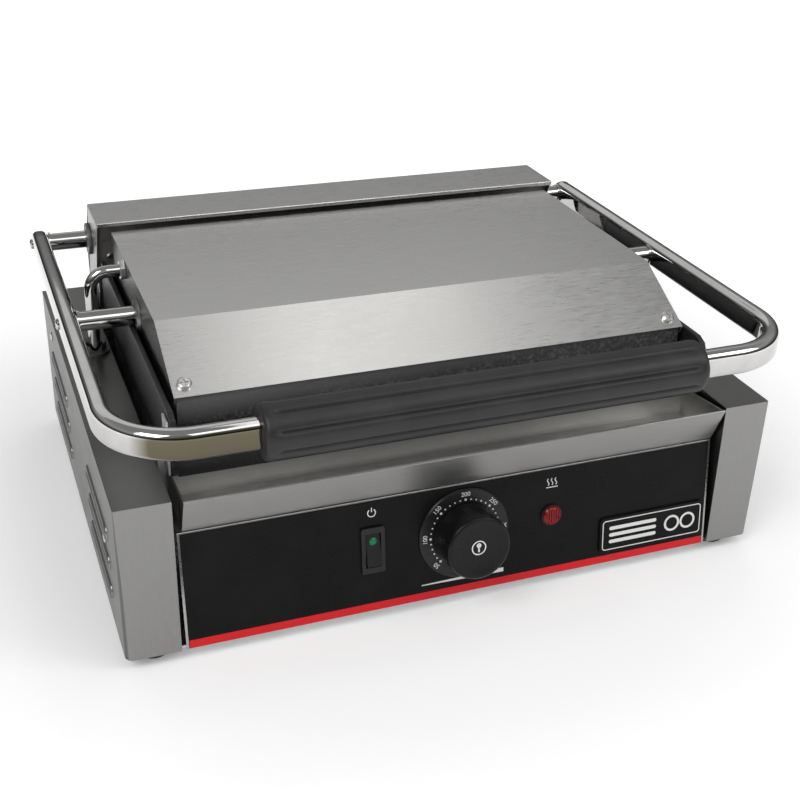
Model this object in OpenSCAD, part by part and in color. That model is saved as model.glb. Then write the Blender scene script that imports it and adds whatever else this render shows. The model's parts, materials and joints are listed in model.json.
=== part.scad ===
// Commercial contact grill: two side boxes, a leaning control panel, a ribbed cast lower plate, and a
// floating upper plate hung between the arms of a bent bar handle that swings on a rear shaft.

/* [Body] */
// Width over the two side boxes
base_w = 410; // [404:1:412]
// Depth of the side boxes
base_d = 311; // [308:1:316]
// Height of the side boxes above their lower edge
base_h = 98; // [96:1:100]
// Width of one side box
side_w = 31.5; // [30:0.5:33]
// Height of the rubber feet
foot_h = 8; // [6:1:12]
// Thickness of the folded steel sheet
sheet_t = 1.2; // [1:0.1:1.5]

/* [Panel] */
// Lean of the control panel from upright, in degrees
panel_lean = 7.9; // [6:0.1:9]
// Height of the panel face
panel_h = 73.5; // [72:0.5:75]
// Height of the dial centre up the panel
dial_u = 41.4; // [40:0.1:44]
// Diameter of the printed dial ring
dial_d = 58; // [54:1:60]
// Diameter of the knob at its skirt
knob_d = 41; // [38:1:46]
// Length of the knob
knob_l = 21.5; // [19:0.5:26]
// Distance of the switch from the middle
switch_x = 58; // [52:1:64]
// Distance of the lamp from the middle
lamp_x = 58.2; // [54:0.1:64]
// Diameter of the lamp lens
lamp_d = 12; // [11:0.5:13]

/* [Plates] */
// Width of the upper cast plate
plate_w = 320; // [312:1:320]
// Pitch of the ribs on the cooking faces
rib_pitch = 10; // [8:0.5:12]
// Height of the ribs
rib_h = 3.2; // [2:0.1:4]
// Height at which the two cooking faces meet
grill_z = 118; // [117.5:0.1:118.5]

/* [Lid] */
// Width of the lid cover
lid_w = 323; // [322:1:323]
// Height of the lid top
lid_z = 163; // [162:0.5:164]
// Distance of the crease from the front of the base
crease_y = 93; // [88:1:98]

/* [Handle] */
// Width over the handle arms
handle_w = 419; // [418:1:424]
// Thickness of the handle bar
bar_t = 11; // [10:0.5:11.5]
// Height of the handle bar
bar_h = 17.4; // [15:0.1:18]
// Corner radius of the handle, on its outer face
bend_r = 48; // [40:1:52]
// Diameter of the grip
grip_d = 31; // [29:0.5:33]
// Length of the grip
grip_l = 262; // [240:2:268]
// Diameter of the hinge shaft and of the lid pins
pin_d = 12; // [11:0.5:12]

/* [Hidden] */
$fn = 48;

// where the parts stand: Y is measured from the front of the base, Z from the lower edge of the boxes
y_front = -15 - grip_d / 2;
y_rear = base_d + 13;
half_w = base_w / 2;
inner_x = half_w - side_w;
front_lean = 3;
eps = 0.02;

// pivots
hinge_y = 290;
hinge_z = 142.5;
lid_pin_y = 150;
lid_pin_z = 142.5;
bar_y = -15;
arm_x = handle_w / 2 - bar_t / 2;
bend_c = bend_r - bar_t / 2;
grip_x = 2;
lamp_u = 42.2;

// drip tray floor, just above the shelf it slides on
tray_z = panel_h * cos(panel_lean) + 0.3;

// lid and housing profile
lid_front_y = 44;
lid_front_z = 137.7;
lid_rear_y = 243;
skirt_z = 133;
house_z = 168;
house_y = 247.3;
house_w = 340;
house_back_y = 290;
house_back_z = 132;

// conduit arc, set so that the tube always passes through its gland
cond_x = 184;
cond_y = 320.9;
cond_z = 145.3;
cond_r = 129.8;
cond_d = 8;
gland_y = 200;
elbow_r = 11;

// ---------------------------------------------------------------- helpers

module place() {
    translate([0, -(y_front + y_rear) / 2, foot_h]) children();
}

// a profile drawn in Y and Z, run along X between two values
module along_x(x0, x1) {
    translate([x0, 0, 0]) rotate([90, 0, 90]) linear_extrude(x1 - x0) children();
}

// the leaning front plane: X, up the panel, and out towards the user
module on_panel(x = 0, u = 0, w = 0) {
    rotate([90 - panel_lean, 0, 0]) translate([x, u, w]) children();
}

module round_rect(w, h, r) {
    square([w - 2 * r, h], center = true);
    square([w, h - 2 * r], center = true);
    for (x = [-1, 1], y = [-1, 1])
        translate([x * (w / 2 - r), y * (h / 2 - r)]) circle(r);
}

module slot2d(l, w) {
    square([l - w, w], center = true);
    for (s = [-1, 1]) translate([s * (l - w) / 2, 0]) circle(w / 2);
}

module rod_x(x0, x1, y, z, d) {
    translate([x0, y, z]) rotate([0, 90, 0]) cylinder(d = d, h = x1 - x0);
}

module rod_y(y0, y1, x, z, d) {
    translate([x, y0, z]) rotate([-90, 0, 0]) cylinder(d = d, h = y1 - y0);
}

// a pan-head screw pointing along -Z with its head above z = 0
module pan_screw(d, head_h, shank_d, shank_l) {
    cylinder(d = d, h = head_h * 0.55);
    translate([0, 0, head_h * 0.55]) cylinder(d1 = d, d2 = d * 0.72, h = head_h * 0.45);
    translate([0, 0, -shank_l]) cylinder(d = shank_d, h = shank_l + eps);
}

module cross_recess(d, depth) {
    for (a = [0, 90]) rotate([0, 0, a]) cube([d, d * 0.24, depth * 2], center = true);
}

// ---------------------------------------------------------------- side boxes

module side_profile() {
    polygon([[0, 0], [base_d, 0], [base_d, base_h], [front_lean, base_h]]);
}

// plan of a left box, with its outer front corner rounded
module side_plan(r) {
    difference() {
        translate([-half_w, 0]) square([side_w, base_d]);
        translate([-half_w - 1, -1]) square([1 + r, 1 + r]);
    }
    translate([-half_w + r, r]) circle(r);
}

module side_shell() {
    difference() {
        intersection() {
            linear_extrude(base_h) side_plan(5);
            along_x(-half_w - 1, -inner_x + 1) side_profile();
        }
        translate([-half_w + sheet_t, 5.5, sheet_t])
            cube([side_w - 2 * sheet_t, base_d - 5.5 - sheet_t, base_h - 2 * sheet_t]);
        translate([-half_w + 7, 50, -1]) cube([side_w - 14, 210, 4]);
        // pressed louvre openings in the outer wall
        for (g = [73, 238], i = [0 : 2])
            translate([-half_w - 1, g, 22 + i * 20])
                rotate([90, 0, 90]) linear_extrude(sheet_t + 2) slot2d(72, 6);
        // screw holes for the feet and for the cover screws
        for (y = [18, 292]) translate([-187, y, -1]) cylinder(d = 4.2, h = 4);
        for (p = [[45, 55], [266, 82]]) rod_x(-half_w - 1, -half_w + 3, p[0], p[1], 3.2);
    }
}

module side_box_left() {
    place() color("silver") difference() {
        side_shell();
        translate([-cond_x, gland_y, base_h - 3]) cylinder(d = 16, h = 6);
    }
}

module side_box_right() {
    place() color("silver") mirror([1, 0, 0]) side_shell();
}

module feet() {
    place() color([0.08, 0.08, 0.08])
        for (x = [-187, 187], y = [18, 292]) translate([x, y, -foot_h]) difference() {
            union() {
                cylinder(d1 = 20, d2 = 24, h = 3);
                translate([0, 0, 3]) cylinder(d = 24, h = foot_h - 3);
            }
            translate([0, 0, -1]) cylinder(d = 10, h = 4);
            translate([0, 0, -1]) cylinder(d = 4.2, h = foot_h + 2);
        }
}

module foot_screws() {
    place() color([0.7, 0.7, 0.72])
        for (x = [-187, 187], y = [18, 292]) translate([x, y, 3 - foot_h]) mirror([0, 0, 1]) {
            difference() {
                pan_screw(8, 2.4, 4, foot_h - 3 + sheet_t + 3);
                translate([0, 0, 2.4]) cross_recess(4, 1);
            }
        }
}

module side_screws() {
    place() color([0.75, 0.75, 0.77])
        for (s = [-1, 1], p = [[45, 55], [266, 82]])
            translate([s * half_w, p[0], p[1]]) rotate([0, s * 90, 0]) difference() {
                pan_screw(6, 1.2, 3, 5);
                translate([0, 0, 1.2]) cross_recess(3.2, 0.6);
            }
}

// ---------------------------------------------------------------- chassis

module base_pan() {
    place() color("silver") difference() {
        union() {
            translate([-inner_x, 3, 0]) cube([2 * inner_x, base_d - 5, sheet_t]);
            for (s = [-1, 1]) translate([s * (inner_x - sheet_t / 2) - sheet_t / 2, 50, 0])
                cube([sheet_t, 250, 14]);
        }
        for (x = [-120 : 20 : 120], y = [110, 210])
            translate([x, y, -1]) linear_extrude(4) rotate(90) slot2d(46, 5);
    }
}

module rear_panel() {
    place() color("silver") difference() {
        translate([-inner_x, base_d - sheet_t - 0.1, sheet_t]) cube([2 * inner_x, sheet_t, base_h - sheet_t]);
        for (x = [-100 : 16 : 60]) translate([x, base_d + 1, 48]) rotate([90, 0, 0])
            linear_extrude(4) rotate(90) slot2d(34, 4);
        rod_y(base_d - 4, base_d + 4, 130, 30, 16);
    }
}

module cable_gland() {
    place() color([0.1, 0.1, 0.1]) difference() {
        union() {
            rod_y(base_d - 12, base_d - sheet_t - 0.1, 130, 30, 22);
            rod_y(base_d - 4, base_d + 4, 130, 30, 15.9);
            translate([130, base_d - 0.1, 30]) rotate([-90, 0, 0]) cylinder(d = 25, h = 5.1, $fn = 6);
            translate([130, base_d + 5, 30]) rotate([-90, 0, 0]) cylinder(d1 = 21, d2 = 15, h = 8);
        }
        rod_y(base_d - 20, base_d + 20, 130, 30, 8);
    }
}

module terminal_block() {
    place() color([0.9, 0.89, 0.85]) difference() {
        translate([92, 270, 1.2]) cube([46, 22, 18]);
        for (i = [0 : 2]) translate([101 + i * 14, 269, 8]) rotate([-90, 0, 0]) cylinder(d = 5, h = 24);
        for (i = [0 : 2], y = [275, 287]) translate([101 + i * 14, y, 12]) cylinder(d = 5, h = 10);
    }
}

// panel sheet with its top folded back into the shelf that carries the drip tray
module control_panel() {
    t = sheet_t;
    ty = panel_h * sin(panel_lean);
    tz = panel_h * cos(panel_lean);
    place() color("silver") difference() {
        union() {
            on_panel(0, 0, -t) linear_extrude(t) translate([-170.8, 0.6]) square([341.6, panel_h - 0.6]);
            along_x(-170.8, 170.8)
                polygon([[ty - 0.1, tz], [ty - 0.1, tz - 1.2], [47, tz - 1.2], [47, tz]]);
        }
        on_panel(0, dial_u, -5) cylinder(d = 12, h = 10);
        on_panel(-switch_x, dial_u, -5) linear_extrude(10) square([11.2, 24.4], center = true);
        on_panel(lamp_x, lamp_u, -5) cylinder(d = 10.2, h = 10);
    }
}

module panel_overlay() {
    place() color([0.07, 0.07, 0.08]) on_panel() difference() {
        translate([-169.3, 0.9, 0]) cube([338.6, panel_h - 1.9, 0.6]);
        translate([0, dial_u, -1]) cylinder(d = 12, h = 3);
        translate([-switch_x, dial_u, 0]) cube([11.2, 24.4, 4], center = true);
        translate([lamp_x, lamp_u, -1]) cylinder(d = 10.2, h = 3);
    }
}

module badge() {
    place() color([0.06, 0.06, 0.07]) on_panel(130, 20.5, 0.6) linear_extrude(1.6) round_rect(75, 24, 3);
}

// folded frame that carries the lower plate; its front wall closes the tray channel
module plate_frame() {
    t = sheet_t;
    place() color("silver") difference() {
        union() {
            translate([-163.9, 48, t]) cube([327.8, 206, 96 - t]);
            for (s = [-1, 1]) mirror([s > 0 ? 0 : 1, 0, 0]) {
                translate([163.8, 48, t]) cube([8.4, t, 101.4 - t]);
                // upright flange beside the splash guard
                translate([168.3, 29, 98.7]) cube([t, 19 + t, 2.7]);
                translate([168.3, 29, 98.7]) cube([t, 11, 33.3]);
            }
        }
        translate([-168.2, 40, 96]) cube([336.4, 20, 60]);
        translate([-163.9 + t, 48 + t, 0]) cube([327.8 - 2 * t, 206 - 2 * t, 100]);
        for (s = [-1, 1]) translate([s * 164 - 5, 80, 14]) cube([10, 140, 50]);
        translate([-120, 240, 14]) cube([240, 20, 50]);
        translate([-90, 40, 10]) cube([180, 20, 56]);
    }
}

// ---------------------------------------------------------------- lower plate

module ribs(w, y0, y1, h, up) {
    n = floor((w / 2 - 6) / rib_pitch);
    for (i = [-n : n])
        translate([i * rib_pitch, y1, 0]) rotate([90, 0, 0]) linear_extrude(y1 - y0)
            polygon([[-2.6, 0], [2.6, 0], [1.3, up * h], [-1.3, up * h]]);
}

module lower_plate() {
    low = 96;
    web = grill_z - rib_h;
    place() color([0.16, 0.16, 0.17]) {
        difference() {
            translate([-164, 30, low]) cube([328, 228, web - low]);
            translate([-152, 50, low - 1]) cube([304, 198, 9]);
            // grease gutter along the front edge, with two drain notches
            translate([-150, 34, web - 5]) cube([300, 7, 6]);
            for (x = [-90, 90]) translate([x - 9, 29, web - 5]) cube([18, 6, 6]);
        }
        translate([0, 0, web]) ribs(324, 44, 256, rib_h, 1);
    }
}

module splash_guard() {
    x0 = 164.2;
    x1 = 167.8;
    place() color([0.09, 0.09, 0.1]) {
        for (s = [-1, 1]) along_x(s > 0 ? x0 : -x1, s > 0 ? x1 : -x0)
            polygon([[30, 97], [25.5, 104], [24.5, 128], [27.5, 133.5], [33, 136], [262, 136], [262, 97]]);
        translate([-x0, 258.4, 97]) cube([2 * x0, 3.6, 30]);
    }
}

// a flat heater loop: long runs along X joined by half turns
module element(z, y0, pitch, runs, half_l, d) {
    r = pitch / 2;
    for (i = [0 : runs - 1]) rod_x(-half_l, half_l, y0 + i * pitch, z, d);
    for (i = [0 : runs - 2]) translate([(i % 2 == 0 ? 1 : -1) * half_l, y0 + i * pitch + r, z])
        rotate([0, 0, i % 2 == 0 ? -90 : 90]) rotate_extrude(angle = 180) translate([r, 0]) circle(d / 2);
}

module lower_element() {
    place() color([0.35, 0.34, 0.33]) {
        element(100.4, 72, 38, 5, 116, 7);
        rod_x(-150, -116, 72, 100.4, 7);
        rod_x(116, 150, 224, 100.4, 7);
    }
}

module lower_clamp() {
    place() color([0.6, 0.6, 0.6]) difference() {
        translate([-140, 56, 94.6]) cube([280, 186, 2.2]);
        for (x = [-100, 0, 100]) translate([x - 20, 82, 94]) cube([40, 18, 4]);
        for (x = [-130, 130], y = [64, 234]) translate([x, y, 94]) cylinder(d = 5.2, h = 4);
    }
}

module clamp_nuts() {
    place() color([0.75, 0.74, 0.7])
        for (x = [-130, 130], y = [64, 234]) translate([x, y, 0]) {
            translate([0, 0, 90.6]) cylinder(d = 9.2, h = 4, $fn = 6);
            translate([0, 0, 88]) cylinder(d = 5, h = 16);
        }
}

module lower_insulation() {
    place() color([0.86, 0.84, 0.76]) translate([-150, 60, 66]) cube([300, 190, 21]);
}

// ---------------------------------------------------------------- controls

module dial_bezel() {
    place() color([0.1, 0.1, 0.11]) on_panel(0, dial_u, 0.6) difference() {
        union() {
            cylinder(d = dial_d, h = 1.2);
            translate([0, 0, 1.2]) cylinder(d1 = dial_d, d2 = dial_d - 1.6, h = 0.8);
        }
        translate([0, 0, -1]) cylinder(d = 14, h = 5);
    }
}

module thermostat() {
    place() color([0.8, 0.78, 0.7]) on_panel(0, dial_u, 0) difference() {
        union() {
            translate([-19, -17, -26]) cube([38, 34, 20]);
            translate([0, 0, -6]) cylinder(d = 24, h = 4.8);
            translate([0, 0, -6]) cylinder(d = 11.6, h = 7.4);
            translate([-26, -6, -7.2]) cube([52, 12, 1.2]);
            for (x = [-10, 0, 10]) translate([x - 3, -12, -32]) cube([6, 1, 7]);
        }
        translate([0, 0, -18]) cylinder(d = 6.1, h = 30);
    }
}

// capillary tube and sensing bulb of the thermostat, clipped under the lower plate
module thermostat_bulb() {
    place() color([0.72, 0.45, 0.3]) {
        p = [[0, 24, 57], [0, 27, 62], [60, 56, 62], [60, 56, 90.5], [60, 105, 90.5]];
        for (i = [0 : 3]) capillary(p[i], p[i + 1], 2);
        for (i = [1 : 3]) translate(p[i]) sphere(d = 2.6);
        rod_y(104, 175, 60, 90.5, 6);
    }
}

module capillary(a, b, d) {
    v = b - a;
    l = norm(v);
    translate(a) rotate([0, acos(v[2] / l), atan2(v[1], v[0])]) cylinder(d = d, h = l);
}

module spindle() {
    place() color([0.7, 0.7, 0.72]) on_panel(0, dial_u, 0) difference() {
        translate([0, 0, -17]) cylinder(d = 6, h = 32.6);
        translate([-4, 1.6, 4]) cube([8, 4, 14]);
    }
}

module knob() {
    n = 60;
    place() color([0.1, 0.1, 0.1]) on_panel(0, dial_u, 3.1) difference() {
        union() {
            cylinder(d = knob_d, h = 3);
            translate([0, 0, 3]) cylinder(d1 = knob_d - 1, d2 = knob_d - 5, h = knob_l - 4.5);
            translate([0, 0, knob_l - 1.5]) cylinder(d1 = knob_d - 5, d2 = knob_d - 8, h = 1.5);
        }
        // dished face
        translate([0, 0, knob_l + 78]) sphere(r = 80, $fn = 96);
        // finger flutes round the skirt
        for (i = [0 : n - 1]) rotate(i * 360 / n) translate([knob_d / 2 + 0.2, 0, -1]) cylinder(d = 1.1, h = 5);
        // spindle socket with its flat, and the hollow back
        difference() {
            translate([0, 0, -1]) cylinder(d = 6, h = 13.9);
            translate([-4, 1.6, 0.9]) cube([8, 4, 13]);
        }
        difference() {
            translate([0, 0, -1]) cylinder(d = knob_d - 9, h = 16);
            translate([0, 0, -2]) cylinder(d = 12, h = 18);
        }
        // pointer notch on the skirt
        rotate(135) translate([0, knob_d / 2 - 1.4, 2.2]) cube([1.6, 4, 3], center = true);
    }
}

module switch_body() {
    place() color([0.07, 0.07, 0.08]) on_panel(-switch_x, dial_u, 0.6) difference() {
        union() {
            linear_extrude(1.8) round_rect(14.4, 29.4, 1.2);
            translate([-5.5, -12.1, -22]) cube([11, 24.2, 22.1]);
            for (y = [-8, 0, 8]) translate([-0.4 - 2.4, y - 0.4, -30]) cube([4.8, 0.8, 9]);
        }
        translate([-4.8, -10.9, -14]) cube([9.6, 21.8, 20]);
        rod_x(-5.4, 5.4, 0, -1, 2.1);
    }
}

// rocker: a shallow V with one end pressed in
module rocker() {
    place() color([0.09, 0.09, 0.1]) on_panel(-switch_x, dial_u, 0.6) difference() {
        union() {
            along_x(-4.4, 4.4)
                polygon([[-10.4, -1.5], [-9.3, 4], [0, 2], [10.55, 0], [10.1, -3.2], [3.5, -5], [-3.5, -5]]);
            rod_x(-5.3, 5.3, 0, -1, 2);
        }
        translate([0, 5.8, -0.6]) cylinder(d = 4.8, h = 5);
    }
}

module rocker_lens() {
    place() color([0.1, 0.75, 0.35]) on_panel(-switch_x, dial_u, 0.6) translate([0, 5.8, -0.6]) {
        cylinder(d = 4.8, h = 2);
        translate([0, 0, 2]) cylinder(d1 = 4.8, d2 = 3.4, h = 0.5);
    }
}

module lamp_body() {
    place() color([0.12, 0.12, 0.12]) on_panel(lamp_x, lamp_u, 0.6) {
        difference() {
            union() {
                cylinder(d = lamp_d + 1.6, h = 1.4);
                translate([0, 0, -24]) cylinder(d = 10, h = 24.1);
                translate([0, 0, -5.8]) cylinder(d = 15, h = 4, $fn = 6);
            }
            translate([0, 0, 0.6]) cylinder(d = lamp_d, h = 4);
        }
        for (x = [-3, 3]) translate([x - 0.4, -2, -31]) cube([0.8, 4, 7.5]);
    }
}

module lamp_lens() {
    place() color([0.75, 0.05, 0.07]) on_panel(lamp_x, lamp_u, 1.2) {
        cylinder(d = lamp_d, h = 1.6);
        translate([0, 0, 1.6]) cylinder(d1 = lamp_d, d2 = lamp_d - 2.4, h = 1.2);
        for (x = [-4 : 1.6 : 4])
            translate([x - 0.35, -sqrt(22 - x * x), 2.2]) cube([0.7, 2 * sqrt(22 - x * x), 1.2]);
    }
}

// ---------------------------------------------------------------- drip tray

module drip_tray() {
    t = 1;
    place() color("silver") translate([1.8, 0, 0]) {
        difference() {
            along_x(-169.4, 169.4) polygon([[0.4, 97.6], [10.6, tray_z], [46.4, tray_z], [46.4, 92]]);
            along_x(-169.4 + t, 169.4 - t) polygon([[0.4 + t * 1.1, 97.7], [10.6 + t * 0.7, tray_z + t],
                [46.4 - t, tray_z + t], [46.4 - t, 110], [10, 110]]);
        }
        // rolled edge along the front
        rod_x(-169.4, 169.4, 1.3, 97.2, 2);
    }
}

// ---------------------------------------------------------------- rear housing

module hinge_cover() {
    t = sheet_t;
    place() color("silver") along_x(-house_w / 2, house_w / 2)
        polygon([[house_y, house_z - 3.2], [house_y, house_z], [house_back_y, house_z], [base_d, house_back_z],
            [base_d, base_h], [base_d - t, base_h], [base_d - t, house_back_z - t * 0.27],
            [house_back_y - t * 0.58, house_z - t], [house_y + t, house_z - t], [house_y + t, house_z - 3.2]]);
}

module hinge_side() {
    t = sheet_t;
    along_x(house_w / 2 - t, house_w / 2) difference() {
        polygon([[house_y + t + 0.3, house_z - t], [house_back_y - t * 0.58, house_z - t],
            [base_d - t, house_back_z - t * 0.27], [base_d - t, base_h], [268, base_h], [264, 112],
            [266, 130], [house_y + t + 0.3, house_z - 4]]);
        translate([hinge_y, hinge_z]) circle(d = pin_d + 6.2);
    }
}

module hinge_side_right() {
    place() color("silver") hinge_side();
}

module hinge_side_left() {
    place() color("silver") mirror([1, 0, 0]) hinge_side();
}

module hinge_baffle() {
    x = house_w / 2 - sheet_t;
    place() color([0.14, 0.14, 0.15]) difference() {
        along_x(-x, x) polygon([[251, house_z - sheet_t], [270, 130], [268, 112], [271, base_h],
            [272.2, base_h], [269.2, 112], [271.2, 130.4], [252.4, house_z - sheet_t]]);
        for (s = [-1, 1]) baffle_screw_at(s) cylinder(d = 3.1, h = 10, center = true);
    }
}

module baffle_screw_at(s) {
    lean = atan2(19, house_z - sheet_t - 130);
    translate([s * 160, 265.85, 138]) rotate([90 + lean, 0, 0]) children();
}

module baffle_screws() {
    place() color([0.7, 0.7, 0.72]) for (s = [-1, 1]) baffle_screw_at(s) pan_screw(5, 1.4, 2.9, 4);
}

module hinge_bushes() {
    place() color([0.6, 0.6, 0.62])
        for (s = [-1, 1]) mirror([s > 0 ? 0 : 1, 0, 0]) difference() {
            union() {
                rod_x(house_w / 2, house_w / 2 + 2.5, hinge_y, hinge_z, pin_d + 10);
                rod_x(house_w / 2 - 14, house_w / 2 + 0.1, hinge_y, hinge_z, pin_d + 6);
            }
            rod_x(house_w / 2 - 20, house_w / 2 + 8, hinge_y, hinge_z, pin_d + 0.1);
        }
}

// closely wound torsion springs round the shaft, each with one leg on the cover and one on the shaft
module hinge_springs() {
    wire = 2.8;
    turns = 14;
    place() color([0.3, 0.3, 0.32])
        for (s = [-1, 1]) mirror([s > 0 ? 0 : 1, 0, 0]) translate([98, hinge_y, hinge_z]) rotate([0, 90, 0]) {
            rotate_extrude() {
                translate([8.3, 0]) square([0.8, wire * (turns - 1)]);
                for (i = [0 : turns - 1]) translate([8.7, i * wire]) circle(wire / 2);
            }
            translate([0, 8.7, 0]) rotate([0, 90, 0]) cylinder(d = wire, h = 40);
        }
}

module conduit_gland() {
    place() color([0.75, 0.75, 0.77]) translate([-cond_x, gland_y, base_h]) difference() {
        union() {
            cylinder(d = 19.5, h = 1.5);
            translate([0, 0, -5]) cylinder(d = 15.9, h = 6);
            translate([0, 0, 1.5]) cylinder(d = 16, h = 5, $fn = 6);
        }
        rotate([20, 0, 0]) translate([0, 0, -20]) cylinder(d = cond_d + 3, h = 40);
    }
}

// ---------------------------------------------------------------- handle

module bar_section() {
    round_rect(bar_t, bar_h, 4.6);
}

module handle_bar() {
    place() color([0.86, 0.86, 0.88]) translate([0, 0, hinge_z]) {
        difference() {
            union() {
                // front run, held inside the grip
                translate([-arm_x + bend_c, bar_y, 0]) rotate([90, 0, 90])
                    linear_extrude(2 * (arm_x - bend_c)) bar_section();
                for (s = [-1, 1]) mirror([s > 0 ? 0 : 1, 0, 0]) {
                    translate([arm_x - bend_c, bar_y + bend_c, 0]) rotate([0, 0, -90])
                        rotate_extrude(angle = 90, $fn = 96) translate([bend_c, 0]) bar_section();
                    translate([arm_x, hinge_y, 0]) rotate([90, 0, 0])
                        linear_extrude(hinge_y - bar_y - bend_c) bar_section();
                    // rounded rear end
                    rod_x(arm_x - bar_t / 2 + 1.2, arm_x + bar_t / 2 - 1.2, hinge_y, 0, bar_h);
                    rod_x(arm_x - bar_t / 2, arm_x + bar_t / 2, hinge_y, 0, bar_h - 2.4);
                }
            }
            // screw seats at the shaft and at the lid pins
            for (s = [-1, 1], y = [hinge_y, lid_pin_y])
                rod_x(s * arm_x - 12, s * arm_x + 12, y, 0, 5.1);
        }
    }
}

module grip() {
    n = 8;
    place() color([0.09, 0.09, 0.095]) translate([grip_x - grip_l / 2, bar_y, hinge_z]) rotate([90, 0, 90]) {
        difference() {
            translate([0, 0, 1.5]) linear_extrude(grip_l - 3) difference() {
                circle(d = grip_d, $fn = 64);
                for (i = [0 : n - 1]) rotate((i + 0.5) * 360 / n) translate([grip_d / 2 + 1.1, 0]) circle(2.1);
            }
            translate([0, 0, -1]) linear_extrude(grip_l + 2) bar_section();
        }
        for (z = [0, grip_l - 1.5]) translate([0, 0, z]) linear_extrude(1.5) difference() {
            circle(d = grip_d - 2, $fn = 64);
            bar_section();
        }
    }
}

module hinge_shaft() {
    x = arm_x - bar_t / 2;
    place() color([0.85, 0.85, 0.87]) difference() {
        union() {
            rod_x(-x, x, hinge_y, hinge_z, pin_d);
            for (s = [-1, 1]) rod_x(s > 0 ? x - 1.5 : -x, s > 0 ? x : -x + 1.5, hinge_y, hinge_z, pin_d + 2);
        }
        for (s = [-1, 1]) rod_x(s * x - 12, s * x + 12, hinge_y, hinge_z, 5.1);
    }
}

module lid_pins() {
    x = arm_x - bar_t / 2;
    place() color([0.85, 0.85, 0.87])
        for (s = [-1, 1]) mirror([s > 0 ? 0 : 1, 0, 0]) difference() {
            union() {
                rod_x(147, x, lid_pin_y, lid_pin_z, pin_d);
                rod_x(x - 1.5, x, lid_pin_y, lid_pin_z, pin_d + 2);
            }
            rod_x(x - 12, x + 12, lid_pin_y, lid_pin_z, 5.1);
        }
}

module arm_screws() {
    place() color([0.8, 0.8, 0.82])
        for (s = [-1, 1], y = [hinge_y, lid_pin_y])
            translate([s * handle_w / 2, y, hinge_z]) rotate([0, s * 90, 0]) difference() {
                pan_screw(7, 1.6, 5, 22);
                translate([0, 0, 1.6]) cylinder(d = 3, h = 2, center = true, $fn = 6);
            }
}

// ---------------------------------------------------------------- lid

module lid_cover() {
    t = sheet_t;
    h = lid_w / 2;
    place() color("silver") difference() {
        along_x(-h, h) polygon([[lid_rear_y, lid_z], [crease_y, lid_z], [lid_front_y, lid_front_z],
            [lid_front_y + 1.6, skirt_z], [239, skirt_z], [239, lid_z - 3], [lid_rear_y, lid_z - 1.2]]);
        along_x(-h + t, h - t) polygon([[239 - t, lid_z - t], [crease_y + 0.3, lid_z - t],
            [lid_front_y + 2.4, lid_front_z], [lid_front_y - 3, lid_front_z - 0.6], [lid_front_y - 3, 120],
            [239 - t, 120]]);
        for (s = [-1, 1]) {
            rod_x(s > 0 ? h - 4 : -h - 4, s > 0 ? h + 4 : -h + 4, lid_pin_y, lid_pin_z, pin_d + 6.2);
            translate([s * 154, 51.5, 135]) cylinder(d = 4, h = 12);
        }
        rod_x(-h - 4, -h + 4, cond_y - cond_r, cond_z + elbow_r, cond_d + 0.2);
    }
}

// flanged bearings pressed into the lid sides for the pins on the arms
module lid_bosses() {
    h = lid_w / 2;
    place() color([0.7, 0.7, 0.72])
        for (s = [-1, 1]) mirror([s > 0 ? 0 : 1, 0, 0]) difference() {
            union() {
                rod_x(146, h + 0.1, lid_pin_y, lid_pin_z, pin_d + 6);
                translate([h, lid_pin_y, lid_pin_z]) rotate([0, 90, 0])
                    cylinder(d1 = pin_d + 10, d2 = pin_d + 6, h = 2.2);
            }
            rod_x(140, h + 8, lid_pin_y, lid_pin_z, pin_d + 0.1);
        }
}

module upper_plate() {
    h = plate_w / 2;
    face = grill_z + 0.4 + rib_h;
    top = 137;
    place() color([0.17, 0.17, 0.18]) {
        difference() {
            translate([-h, 45.8, face]) cube([plate_w, 191.8, top - face]);
            translate([-h + 9, 55, face + 6.6]) cube([plate_w - 18, 173, 20]);
            for (s = [-1, 1]) {
                rod_x(s > 0 ? 140 : -170, s > 0 ? 170 : -140, lid_pin_y, lid_pin_z, pin_d + 7);
                translate([s * 154, 51.5, top - 7]) cylinder(d = 4, h = 10);
            }
        }
        translate([0, 0, face]) ribs(plate_w - 4, 51, 236.5, rib_h, -1);
        // rim along the front, as deep as the ribs
        translate([-h, 45.8, grill_z + 0.4]) cube([plate_w, 5.4, rib_h + 1]);
    }
}

module upper_element() {
    place() color([0.35, 0.34, 0.33]) element(131.7, 74, 34, 5, 112, 7);
}

module upper_clamp() {
    place() color([0.6, 0.6, 0.6]) translate([-138, 60, 135.2]) cube([276, 164, 2]);
}

module upper_insulation() {
    place() color([0.86, 0.84, 0.76]) along_x(-142, 142)
        polygon([[66, 137.4], [66, 144.5], [97, 160.5], [230, 160.5], [230, 137.4]]);
}

module lid_screws() {
    lean = atan2(lid_z - lid_front_z, crease_y - lid_front_y);
    place() color([0.78, 0.78, 0.8])
        for (s = [-1, 1]) translate([s * 154, 51.5, 141.6]) rotate([lean, 0, 0]) difference() {
            union() {
                pan_screw(8.4, 2.2, 3.4, 1.6);
                rotate([-lean, 0, 0]) translate([0, 0, -11]) cylinder(d = 3.9, h = 10.5);
            }
            translate([0, 0, 2.2]) cross_recess(4.6, 1);
        }
}

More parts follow.
